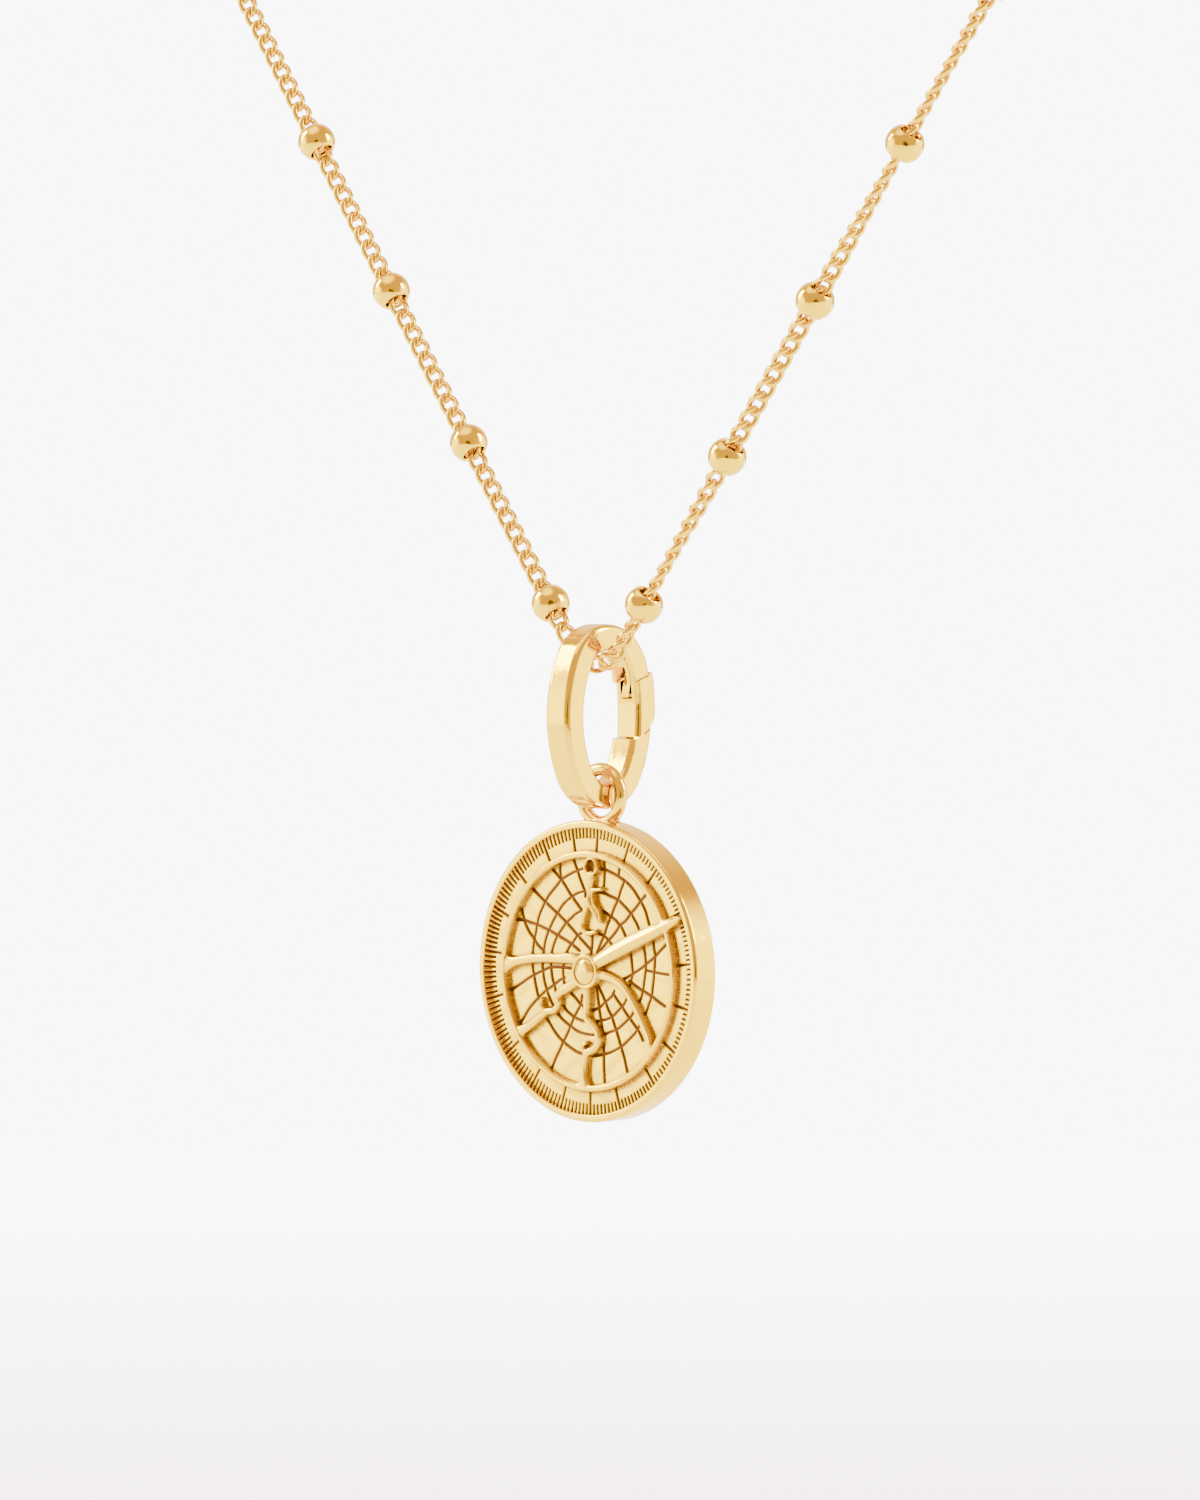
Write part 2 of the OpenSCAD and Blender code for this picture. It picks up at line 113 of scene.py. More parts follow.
def catmull(rows, steps):
    """Points on a spline through the rows, the last row included."""
    rows = np.asarray(rows, float)
    n = len(rows)
    out = []
    for i in range(n - 1):
        a, b, c, d = rows[max(i - 1, 0)], rows[i], rows[i + 1], rows[min(i + 2, n - 1)]
        out += [spline_point(a, b, c, d, k / steps) for k in range(steps)]
    return np.array(out + [rows[-1]])


def smooth01(x):
    x = np.clip(x, 0, 1)
    return x * x * (3 - 2 * x)


def round_angles(count):
    return np.arange(count) * 2 * PI / count


def grid_faces(rows, cols, close_rows=False, close_cols=False):
    faces = []
    for i in range(rows if close_rows else rows - 1):
        for j in range(cols if close_cols else cols - 1):
            a, b = i * cols + j, i * cols + (j + 1) % cols
            c, d = ((i + 1) % rows) * cols + (j + 1) % cols, ((i + 1) % rows) * cols + j
            faces.append((a, b, c, d))
    return faces


def placed(points, origin, x, y, z):
    """A small shape's points set at every origin, along the axes x, y and z given for it."""
    origin, x, y, z = (np.reshape(a, (-1, 1, 3)) for a in (origin, x, y, z))
    return (origin + points[:, 0:1] * x + points[:, 1:2] * y + points[:, 2:3] * z).reshape(-1, 3)


# Materials. Scale per metre, detail and roughness of the noise for slow changes of tone, for the
# polishing grain, for the sandy plate and for soft dents
SLOW, FINE, SAND, DENT = (260.0, 3.0, 0.5), (5200.0, 4.0, 0.6), (14000.0, 2.0, 0.6), (1500.0, 1.0, 0.4)
BUMP_STRENGTH, BUMP_DEPTH = 0.25, 0.000012  # the depth is in metres
# Share of red and green, and of blue, that is left where the tone is deepest
WARM_TONE, COOL_TONE = 0.93, 0.86
SAND_GAIN, SAND_OFFSET, SAND_BUMP = 2.2, -0.2, 3.0
SAND_ROUGH, INK_AND_SHADE_ROUGH = 0.35, 0.3
FINE_LOW, FINE_HIGH = 0.3, 0.7
# On the next line: pale gold, the ochre of painted shade on the dial, and the dark of the engraved lines, which
# also paints shade in the eyelet's hole and round the rivet's dome
PALE, SHADE_OCHRE, INK_AND_SHADE_TONE = (0.86, 0.625, 0.002), (0.21, 0.079, 0.012), (0.102, 0.0365, 0.006)
SATIN = (0.84, 0.58, 0.002)
PLATE = (0.87, 0.635, 0.002)


def feed(nt, socket, value):
    """Link an output to a socket, or set a plain value on it."""
    if isinstance(value, bpy.types.NodeSocket):
        nt.links.new(value, socket)
    elif value is not None:
        socket.default_value = value


def node(nt, kind, **inputs):
    n = nt.nodes.new(kind)
    for key, value in inputs.items():
        feed(nt, n.inputs[key], value)
    return n


def noise(nt, scale, detail, roughness, place=None):
    n = node(nt, "ShaderNodeTexNoise", Scale=scale, Detail=detail, Roughness=roughness, Vector=place)
    return n.outputs["Fac"]


def attribute(nt, name):
    n = nt.nodes.new("ShaderNodeAttribute")
    n.attribute_name = name
    return n.outputs["Fac"]


def maths(nt, operation, *values, clamp=False):
    n = nt.nodes.new("ShaderNodeMath")
    n.operation, n.use_clamp = operation, clamp
    for socket, value in zip(n.inputs, values):
        feed(nt, socket, value)
    return n.outputs[0]


def mix_colour(nt, share, first, second):
    n = nt.nodes.new("ShaderNodeMixRGB")
    feed(nt, n.inputs[0], share)
    for socket, value in ((n.inputs[1], first), (n.inputs[2], second)):
        feed(nt, socket, (*value, 1) if isinstance(value, tuple) else value)
    return n.outputs[0]


def map_range(nt, value, low, high, to_low=0.0, to_high=1.0, smooth=False):
    n = nt.nodes.new("ShaderNodeMapRange")
    if smooth:
        n.interpolation_type = "SMOOTHSTEP"
    for key, v in (("Value", value), ("From Min", low), ("From Max", high),
                   ("To Min", to_low), ("To Max", to_high)):
        feed(nt, n.inputs[key], v)
    return n.outputs[0]


def dot_with(nt, vector, direction):
    n = nt.nodes.new("ShaderNodeVectorMath")
    n.operation = "DOT_PRODUCT"
    feed(nt, n.inputs[0], vector)
    feed(nt, n.inputs[1], direction)
    return n.outputs["Value"]


def gold(name, base, rough=0.16, grain=0.3, dents=0.0, dial=False):
    """Polished gold: slow changes of tone, a polishing grain, soft dents, and on the dial dark lines and painted
    shade.
    """
    m = bpy.data.materials.new(name)
    m.use_nodes = True
    nt = m.node_tree
    nt.nodes.clear()
    out = nt.nodes.new("ShaderNodeOutputMaterial")
    shader = node(nt, "ShaderNodeBsdfPrincipled", Metallic=1.0)
    feed(nt, out.inputs["Surface"], shader.outputs["BSDF"])
    place = nt.nodes.new("ShaderNodeTexCoord").outputs["Object"]
    slow = noise(nt, *SLOW, place)
    fine = noise(nt, *FINE, place)
    duller = (*[x * WARM_TONE for x in base[:2]], base[2] * COOL_TONE)
    colour = mix_colour(nt, slow, base, duller)
    roughness = map_range(nt, fine, FINE_LOW, FINE_HIGH, rough * (1 - grain), rough * (1 + grain))
    height = fine
    if dial:
        # Dial: an ochre tone of painted shade near raised work, at the rim and on the slopes of raised work,
        # broken up by a real sandy grain that also roughens and bumps the surface; then the dark engraved lines,
        # with painted shade in the eyelet's hole and round the rivet's dome
        sand_and_shade, ink_and_shade = attribute(nt, "sand_and_shade"), attribute(nt, "ink_and_shade")
        sand = noise(nt, *SAND, place)
        grainy = maths(nt, "MULTIPLY_ADD", sand, SAND_GAIN, SAND_OFFSET)
        amount = maths(nt, "MULTIPLY", sand_and_shade, grainy, clamp=True)
        colour = mix_colour(nt, ink_and_shade, mix_colour(nt, amount, colour, SHADE_OCHRE), INK_AND_SHADE_TONE)
        roughness = maths(nt, "MULTIPLY_ADD", amount, SAND_ROUGH, roughness, clamp=True)
        roughness = maths(nt, "MULTIPLY_ADD", ink_and_shade, INK_AND_SHADE_ROUGH, roughness, clamp=True)
        height = maths(nt, "MULTIPLY_ADD", maths(nt, "MULTIPLY", sand, amount), SAND_BUMP, fine)
    bump = node(nt, "ShaderNodeBump", Strength=BUMP_STRENGTH, Distance=BUMP_DEPTH, Height=height)
    if dents:
        hammer = noise(nt, *DENT, place)
        soft = node(nt, "ShaderNodeBump", Strength=1.0, Distance=dents, Height=hammer)
        feed(nt, bump.inputs["Normal"], soft.outputs["Normal"])
    feed(nt, shader.inputs["Normal"], bump.outputs["Normal"])
    feed(nt, shader.inputs["Base Color"], colour)
    feed(nt, shader.inputs["Roughness"], roughness)
    return m


# The depth of the dents is in metres
M_LINK = gold("gold_link", PALE, rough=0.1, dents=0.000014)
M_CHAIN = gold("gold_chain", SATIN, rough=0.13, grain=0.4)
M_BEAD = gold("gold_bead", PALE, rough=0.08, dents=0.00006)
M_CLASP = gold("gold_clasp", SATIN, rough=0.16)
M_DISC = gold("gold_disc", PALE, rough=0.1, dents=0.000012)
M_DIAL = gold("gold_dial", PLATE, rough=0.13, dial=True)


def half_line():
    """Right half of the chain's middle line, from the saddle to the nape."""
    turn = math.radians(90 - STRAND_LEAN)
    bend = [turn * i / SADDLE_STEPS for i in range(SADDLE_STEPS + 1)]
    saddle = [SADDLE + SADDLE_R * np.array([math.sin(a), 0, 1 - math.cos(a)]) for a in bend]
    lean = math.radians(STRAND_LEAN)
    way = np.array([math.sin(lean), 0, math.cos(lean)])
    start = saddle[-1]
    rise = way * (STRAND_END_X - start[0]) / way[0]
    end = start + rise + [0, STRAND_BACK, 0]
    middle = start + rise / 2 + [0, STRAND_BOW * STRAND_BACK, 0]
    knots = [middle, end, *ROUTE, CHAIN_END, 2 * CHAIN_END - ROUTE[-1]]
    back = [spline_point(*knots[i - 1:i + 3], k / ROUTE_STEPS)
            for i in range(1, len(knots) - 2) for k in range(ROUTE_STEPS)]
    return np.array(saddle + [middle] + back + [CHAIN_END])


HALF = half_line()
HALF_S = np.r_[0, np.cumsum(np.linalg.norm(np.diff(HALF, axis=0), axis=1))]
HALF_L = HALF_S[-1]


def at(s):
    """Point of the chain's middle line at signed distances from the saddle, + to the right."""
    s = np.atleast_1d(np.asarray(s, float))
    p = np.stack([np.interp(np.abs(s), HALF_S, HALF[:, i]) for i in range(3)], -1)
    p[:, 0] *= np.where(s < 0, -1, 1)
    return p


def tangent(s, reach=0.4):
    return unit(at(s + reach) - at(s - reach))


def facing(s):
    """Direction that the flat of the chain faces at signed distances s, and the chain's own direction."""
    p, t = at(s), tangent(s)
    outward = unit(np.stack([p[:, 0], p[:, 1] - NECK_Y, np.zeros(len(p))], -1) + 1e-9)
    mix = smooth01((p[:, 2] - FACE_Z) / FACE_FADE)[:, None]
    n = STRAND_FACE * (1 - mix) + outward * mix
    n = unit(n - (n * t).sum(1, keepdims=True) * t)
    places, rolls = zip((-HALF_L, 0), *ROLLS, (HALF_L, 0))
    a = np.radians(np.interp(s, places, rolls))[:, None]
    return n * np.cos(a) + np.cross(t, n) * np.sin(a), t


def link_line(count, a=LINK_A, b=LINK_B, twist=TWIST):
    """One twisted oval link: x along the chain, y across, z out of its flat."""
    u = round_angles(count)
    x, w = a * np.cos(u), b * np.sin(u)
    th = twist * x / a
    return np.stack([x, w * np.cos(th), w * np.sin(th)], -1)


def ring_tube(line, wire, sides):
    """A closed tube round a closed line, as vertices in rows of sides."""
    t = unit(np.roll(line, -1, 0) - np.roll(line, 1, 0))
    out = unit(line * WIRE_OUT + 1e-9)
    side = unit(out - (out * t).sum(1, keepdims=True) * t)
    up = np.cross(t, side)
    a = ((np.arange(sides) + 0.5) * 2 * PI / sides)[None, :, None]
    return (line[:, None] + wire * (np.cos(a) * side[:, None] + np.sin(a) * up[:, None])).reshape(-1, 3)


def build_chain():
    segs, sides = ((16, 6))
    one = ring_tube(link_line(segs), WIRE, sides)
    f = np.array(grid_faces(segs, sides, True, True))
    span = HALF_L - CHAIN_SHORT
    n = int(round(2 * span / PITCH))
    s = -span + (np.arange(n) + 0.5) * 2 * span / n
    flat, t = facing(s)
    verts = placed(one, at(s), t, np.cross(flat, t), flat)
    faces = (f[None] + (np.arange(n) * len(one))[:, None, None]).reshape(-1, 4)
    # Plain oval links join the chain to the two end rings
    loop = ring_tube(link_line(segs, END_LINK_A, END_LINK_B, 0.0), WIRE, sides)
    along = np.array([1.0, 0, 0])
    for sx, up in ((-1, (0, 1, 0)), (1, (0, 0, 1))):
        faces = np.r_[faces, f + len(verts)]
        verts = np.r_[verts, placed(loop, [sx * END_LINK_X, 0, 0], along, up, np.cross(along, up))]
    ob = new_object("chain_links", verts, faces, M_CHAIN, "necklace")
    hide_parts("chain")


def build_beads():
    seg = 24
    lip = math.asin(BEAD_HALF / BEAD_R) - BEAD_LIP
    outer = [(BEAD_R * math.cos(a), BEAD_R * math.sin(a)) for a in np.linspace(-lip, lip, BEAD_ROWS)]
    prof = np.array(outer + BEAD_MOUTH + [(r, -z) for r, z in reversed(BEAD_MOUTH)])
    ang = round_angles(seg)[:, None]
    one = np.stack([prof[None, :, 0] * np.cos(ang), prof[None, :, 0] * np.sin(ang),
                    np.tile(prof[None, :, 1], (seg, 1))], -1).reshape(-1, 3)
    f = np.array(grid_faces(seg, len(prof), True, True))
    count = int(HALF_L / BEAD_PITCH - 0.5)
    verts, faces = [], []
    for side, slips in sorted(BEAD_SLIPS.items()):
        for k in range(count):
            s = BEAD_PITCH * (k + 0.5) + slips[min(k, len(slips) - 1)]
            i = max(j for j in range(len(HALF_S) - 1) if HALF_S[j] <= s)
            d = unit(HALF[i + 1] - HALF[i])
            p = HALF[i] + d * (s - HALF_S[i])
            p, d = p * [side, 1, 1], d * [side, 1, 1]
            a = unit(np.cross(d, BEAD_SIDE))
            faces.append(f + len(verts) * len(one))
            verts.append(placed(one, p, a, np.cross(d, a), d))
    ob = new_object("round_beads", np.concatenate(verts), np.concatenate(faces), M_BEAD, "necklace")
    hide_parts("beads")


# The dial's raised work: x, z and width of each line, as shares of the ring's inner radius
ARMS = [
    # Left arm
    [[-0.1, 0.075, 0.09], [-0.2, 0.096, 0.09], [-0.367, 0.086, 0.082], [-0.55, 0.074, 0.077],
     [-0.733, 0.053, 0.077], [-0.867, 0.026, 0.083], [-0.958, 0.003, 0.11], [-1.033, -0.012, 0.18]],
    # Right arm
    [[0.1, -0.02, 0.09], [0.25, -0.03, 0.08], [0.43, -0.1, 0.075], [0.575, -0.25, 0.072],
     [0.7, -0.43, 0.075], [0.76, -0.53, 0.085], [0.79, -0.585, 0.04]],
    # Foot arm
    [[0, -0.08, 0.067], [0, -0.25, 0.075], [0, -0.4, 0.07], [0.06, -0.46, 0.067], [0.14, -0.53, 0.067],
     [0.15, -0.62, 0.07], [0.09, -0.685, 0.07], [0.015, -0.725, 0.07], [-0.01, -0.8, 0.067],
     [-0.015, -0.92, 0.08], [-0.015, -1.03, 0.18]],
    # Lower left arm
    [[-0.1, -0.08, 0.08], [-0.25, -0.165, 0.085], [-0.355, -0.235, 0.075], [-0.35, -0.31, 0.062],
     [-0.4, -0.375, 0.062], [-0.5, -0.4, 0.067], [-0.575, -0.45, 0.075], [-0.67, -0.52, 0.08],
     [-0.79, -0.59, 0.1], [-0.87, -0.64, 0.18]],
]
CURLS = [
    # Curl on the foot arm
    [[0.012, -0.72, 0.05], [-0.033, -0.685, 0.05], [-0.025, -0.65, 0.045], [0.01, -0.635, 0.035]],
    # Curl on the lower left arm
    [[-0.515, -0.4, 0.05], [-0.56, -0.34, 0.05], [-0.55, -0.29, 0.035]],
    # Stem under the eyelet
    [[0.008, 0.86, 0.067], [0.008, 0.79, 0.065], [-0.003, 0.725, 0.06]],
    # Bar across the stem
    [[-0.017, 0.727, 0.04], [0.075, 0.727, 0.037], [0.14, 0.737, 0.033]],
    # Ribbon
    [[-0.003, 0.73, 0.045], [-0.01, 0.65, 0.045], [0.005, 0.592, 0.045], [0.05, 0.542, 0.045],
     [0.092, 0.497, 0.045], [0.117, 0.463, 0.04]],
    # Ribbon's other side
    [[0.033, 0.72, 0.033], [0.037, 0.658, 0.033], [0.052, 0.608, 0.033], [0.085, 0.567, 0.033],
     [0.13, 0.517, 0.033], [0.143, 0.467, 0.035]],
    # Branch
    [[-0.012, 0.64, 0.045], [-0.042, 0.558, 0.05], [-0.07, 0.483, 0.052], [-0.083, 0.417, 0.052],
     [-0.07, 0.367, 0.05], [-0.025, 0.338, 0.048], [0.033, 0.342, 0.042], [0.083, 0.358, 0.035]],
]
RULE = [[0, 0.03, 0.12], [0.5, 0.03, 0.15], [0.9, 0.015, 0.13], [1.15, 0.005, 0.09], [1.25, 0, 0.03]]
RULE_ANGLE = math.radians(26.5)
EYELET, EYELET_R, EYELET_HOLE = (0.03, 5.57), 0.528, 0.33

# Engraved lines of the plate: x and z of their points from the middle of the dial
ARCS = [
    [(-0.5, 5.42), (-0.97, 5.29), (-1.53, 5.08), (-2.14, 4.78), (-2.56, 4.4), (-3.03, 3.96),
     (-3.35, 3.57), (-3.63, 3.12), (-3.84, 2.7), (-4.0, 2.14), (-4.15, 1.53), (-4.26, 0.83),
     (-4.29, 0.26), (-4.19, -0.3), (-4.05, -0.86), (-3.91, -1.33), (-3.73, -1.77), (-3.4, -2.4),
     (-2.98, -2.91), (-2.51, -3.43), (-2.0, -3.81), (-1.49, -4.1), (-0.74, -4.38), (0.21, -4.45),
     (1.01, -4.34), (1.57, -4.2), (2.22, -3.92), (2.69, -3.59), (3.06, -3.29), (3.43, -2.94),
     (4.06, -1.98), (4.3, -1.51), (4.48, -1.14), (4.58, -0.44), (4.67, 0.2), (4.72, 0.97), (4.65, 1.4),
     (4.55, 1.9), (4.2, 2.89), (3.99, 3.4), (3.67, 3.84), (3.13, 4.45), (2.55, 4.85), (2.03, 5.1),
     (1.57, 5.27), (1.05, 5.43), (0.6, 5.5)],
    [(-0.41, 4.22), (-0.93, 4.1), (-1.35, 3.91), (-2.0, 3.49), (-2.44, 2.99), (-2.75, 2.61),
     (-3.07, 2.07), (-3.28, 1.63), (-3.42, 1.11), (-3.54, 0.26), (-3.49, -0.16), (-3.4, -0.63),
     (-3.21, -1.14), (-3.03, -1.47), (-2.86, -1.77), (-2.42, -2.31), (-2.0, -2.66), (-1.47, -2.96),
     (-0.93, -3.22), (-0.46, -3.33), (0.2, -3.38), (1.01, -3.29), (1.43, -3.17), (1.89, -3.03),
     (2.36, -2.73), (2.87, -2.35), (3.1, -2.1), (3.6, -1.4), (3.81, -0.95), (3.92, -0.44),
     (4.02, 0.12), (4.04, 0.41), (4.02, 0.97), (3.92, 1.39), (3.7, 2.0), (3.46, 2.54), (3.2, 2.89),
     (2.97, 3.17), (2.5, 3.54), (2.01, 3.85), (1.47, 4.03), (1.0, 4.18), (0.49, 4.25), (0.2, 4.28)],
    [(-0.62, 3.2), (-1.11, 2.98), (-1.44, 2.75), (-1.77, 2.52), (-2.09, 2.19), (-2.41, 1.83),
     (-2.65, 1.44), (-2.82, 1.02), (-2.92, 0.4), (-2.86, -0.21), (-2.75, -0.63), (-2.6, -1.0),
     (-2.4, -1.45), (-2.05, -1.84), (-1.72, -2.17), (-1.22, -2.46), (-0.97, -2.56), (-0.4, -2.68),
     (0.3, -2.68), (0.77, -2.6), (1.15, -2.52), (1.57, -2.35), (1.94, -2.07), (2.31, -1.77),
     (2.55, -1.5), (2.8, -1.0), (2.92, -0.6), (3.02, -0.2), (3.09, 0.1), (3.04, 0.6), (2.95, 1.05),
     (2.8, 1.55), (2.52, 2.07), (2.36, 2.33), (2.17, 2.5), (1.85, 2.77), (1.49, 2.94), (1.15, 3.1),
     (0.77, 3.24)],
    [(0.0, 2.1), (-0.5, 2.05), (-0.93, 1.87), (-1.16, 1.65), (-1.39, 1.39), (-1.63, 1.14),
     (-1.85, 0.7), (-1.98, 0.26), (-2.0, -0.21), (-1.91, -0.72), (-1.44, -1.19), (-1.07, -1.47),
     (-0.7, -1.8), (-0.3, -1.98), (0.12, -2.05), (0.63, -1.89), (1.1, -1.58), (1.57, -1.25),
     (1.75, -0.98)],
    [(0.45, 2.07), (0.96, 1.93), (1.33, 1.69), (1.6, 1.45)],
]
RAYS = [
    [(-4.6, 4.45), (-4.3, 4.25), (-3.35, 3.58), (-2.44, 2.99), (-1.77, 2.53), (-0.93, 1.87),
     (0.05, 1.12)],
    [(-3.1, 5.55), (-2.14, 4.78), (-1.35, 3.91), (-0.6, 3.18)],
    [(-1.3, 6.05), (-0.95, 5.31), (-0.65, 4.71), (-0.4, 4.2), (-0.36, 3.95)],
    [(-2.23, 5.8), (-2.23, 5.25), (-2.16, 4.85)],
    [(-5.5, 2.58), (-4.94, 2.54), (-4.33, 2.4), (-3.96, 2.33), (-3.4, 2.16), (-3.03, 2.05),
     (-2.41, 1.83), (-2.0, 1.65), (-1.39, 1.39), (-0.8, 1.05)],
    [(-5.18, 3.3), (-4.96, 2.72), (-4.8, 2.37), (-4.52, 1.93), (-4.19, 1.6), (-3.96, 1.32),
     (-3.68, 1.11), (-3.42, 0.95)],
    [(-6.0, -1.25), (-5.17, -0.88), (-4.66, -0.6), (-4.19, -0.37), (-3.59, -0.14), (-3.17, 0.03),
     (-2.84, 0.1), (-2.23, 0.12), (-1.3, 0.1)],
    [(-5.25, -3.0), (-4.89, -2.59), (-4.57, -2.21), (-4.24, -1.89), (-3.82, -1.54), (-3.4, -1.23),
     (-3.17, -1.1), (-2.75, -0.86), (-2.33, -0.6), (-1.9, -0.42)],
    [(-0.63, -1.3), (-0.74, -1.79), (-0.93, -2.07), (-1.2, -2.46), (-1.47, -2.96), (-1.72, -3.38),
     (-2.0, -3.81), (-2.28, -4.29), (-2.56, -4.71), (-2.88, -5.3)],
    [(0.47, -0.9), (0.63, -1.89), (0.73, -2.31), (0.84, -2.96), (0.91, -3.57), (0.98, -4.35),
     (1.0, -4.97), (1.04, -5.8)],
    [(0.55, -0.75), (0.82, -1.12), (1.1, -1.58), (1.33, -1.98), (1.57, -2.35), (1.87, -3.0),
     (2.08, -3.43), (2.25, -3.9), (2.48, -4.45), (2.72, -5.2)],
    [(1.65, -1.1), (2.31, -1.77), (2.87, -2.35), (3.43, -2.9), (3.67, -3.19), (3.85, -3.5)],
    [(2.3, -0.42), (2.97, -0.09), (3.43, 0.14), (3.81, 0.36), (4.04, 0.52), (4.55, 0.83), (4.88, 1.11),
     (5.21, 1.39), (5.55, 1.66)],
    [(2.85, -0.42), (3.43, -0.72), (3.85, -0.9), (4.48, -1.14), (4.97, -1.4), (5.45, -1.64)],
    [(4.04, 0.19), (4.66, 0.12), (5.11, 0.07), (5.75, 0.03)],
    [(0.97, 5.95), (1.05, 5.43), (1.03, 5.03), (0.98, 4.47), (0.92, 4.2)],
    [(2.15, 5.7), (2.06, 5.15)],
    [(2.5, 4.88), (2.22, 4.38), (2.01, 3.85), (1.75, 3.45), (1.49, 2.94), (1.24, 2.47), (0.99, 1.93),
     (0.75, 1.53), (0.5, 1.05)],
    [(4.22, 4.32), (3.67, 3.84), (3.29, 3.45), (2.97, 3.17), (2.55, 2.75), (2.17, 2.5), (1.75, 2.05),
     (1.33, 1.69), (0.82, 1.23), (0.5, 1.0)],
    [(0.14, 2.1), (0.13, 1.53), (0.07, 1.0)],
]
# Long marks of the scale, in degrees clockwise from the top; short marks fill each space
MARKS = [4, 22.5, 41, 63, 85, 104, 123.5, 141, 163, 180, 196.5, 215, 233.5, 257, 276, 294, 313.5,
         332.5, 350]

# Raised work: profiles across it, as the share of the height that rises sheer and how full the top is
TOP_SHARE, ARM_WALL, RING_WALL, FULLNESS = 0.95, 0.34, 0.42, 2.6
ARM_WIDEN, MIN_HALF, BLEND, JOINED = 0.54, 0.05, 0.07, 0.01
ARM_SHORT, ARM_FALL = 0.12, 3
ARM_STEPS, LINE_STEPS = 8, 4
RISE, RULE_SLOPE, RULE_WALL, RULE_SHARP = 0.15, 0.34, 0.6, 8
COLLAR_R, COLLAR_MID, COLLAR_HALF, COLLAR_WALL, COLLAR_FULL = 0.95, 0.82, 0.16, 0.5, 2.4
RIVET_R, RIVET_ROUND, RIVET_LIFT, RIVET_RISE = 0.70, 0.72, 0.02, 0.30
GAP_MID, GAP_HALF = 0.83, 0.13
# Engraving: half widths of the lines, ends of the marks, and how the groove and its dark line fall off
ARC_HALF, RAY_HALF, MARK_HALF, TICK_HALF = 0.098, 0.102, 0.085, 0.07
MARK_IN, MARK_OUT, TICK_IN, TICK_OUT, TICK_STEP = 6.3, 7.56, 7.08, 7.58, 2.07  # the step is in degrees
GROOVE_DEPTH, GROOVE_SPREAD, GROOVE_POWER = 0.075, 1.1, 0.7
LINE_SPREAD, LINE_FADE, LINE_REACH = 1.25, 0.6, 0.15
# Ring of painted shade in the crease round the rivet's dome: radius, width and strength
RIVET_LINE_R, RIVET_LINE_W, RIVET_SHADE = 0.705, 0.05, 0.8
# Painted shade on the plate near raised work, most below and to the right of it, at the rim and in the eyelet's
# hole, and on the slopes of raised work: strengths, and the distances over which it fades
ON_PLATE = 0.02
LOW_SIDE = [0.16, -0.07]
NEAR_FADE, LOW_FADE, LOW_SHARE, HALO_SHARE = 0.07, 0.1, 0.95, 0.86
RIM_FADE, RIM_SHARE, SIDE_SHARE, SIDE_POWER, HOLE_SHADE = 0.08, 0.7, 0.72, 3, 0.35
WAVE, WAVE_FADE = 0.012, 0.6
# Dial mesh: spacing of its points, lap under the rim, and radius where its two pieces meet
COARSE, DENSE, DIAL_LAP, SPLIT_R = 1 / 12, 1 / 30, 0.012, 5.4
# Distances to a line are found within REACH of it, and are FAR elsewhere
REACH, FAR = 0.9, 9.0


def line_distance(p, line):
    """Distance of points p to a polyline, and the third column of the line where it is nearest."""
    best = np.full(len(p), FAR)
    width = np.zeros(len(p))
    lo, hi = line[:, :2].min(0) - REACH, line[:, :2].max(0) + REACH
    near = np.flatnonzero(((p > lo) & (p < hi)).all(1))
    q = p[near]
    b, w = best[near], width[near]
    for a, c in zip(line[:-1], line[1:]):
        d = c[:2] - a[:2]
        t = np.clip(((q - a[:2]) @ d) / max(d @ d, 1e-12), 0, 1)
        r = np.hypot(q[:, 0] - a[0] - t * d[0], q[:, 1] - a[1] - t * d[1])
        m = r < b
        b[m] = r[m]
        if line.shape[1] > 2:
            w[m] = (a[2] + (c[2] - a[2]) * t)[m]
    best[near], width[near] = b, w
    return best, width


def smax(a, b, k):
    """The larger of two heights, rounded where they meet."""
    h = np.clip(1 - np.abs(a - b) / k, 0, 1)
    return np.maximum(a, b) + h * h * k / 4 * (np.minimum(a, b) > JOINED)


def turned(p, angle):
    c, s = math.cos(angle), math.sin(angle)
    return np.stack([p[:, 0] * c + p[:, 1] * s, -p[:, 0] * s + p[:, 1] * c], -1)


def bead_profile(dist, half, high, wall=ARM_WALL):
    """Height across a rounded strip, at a distance from its middle."""
    x = np.clip(dist / half, 0, 1)
    return np.where(dist < half, high * (wall + (1 - wall) * np.sqrt(1 - x ** FULLNESS)), 0)


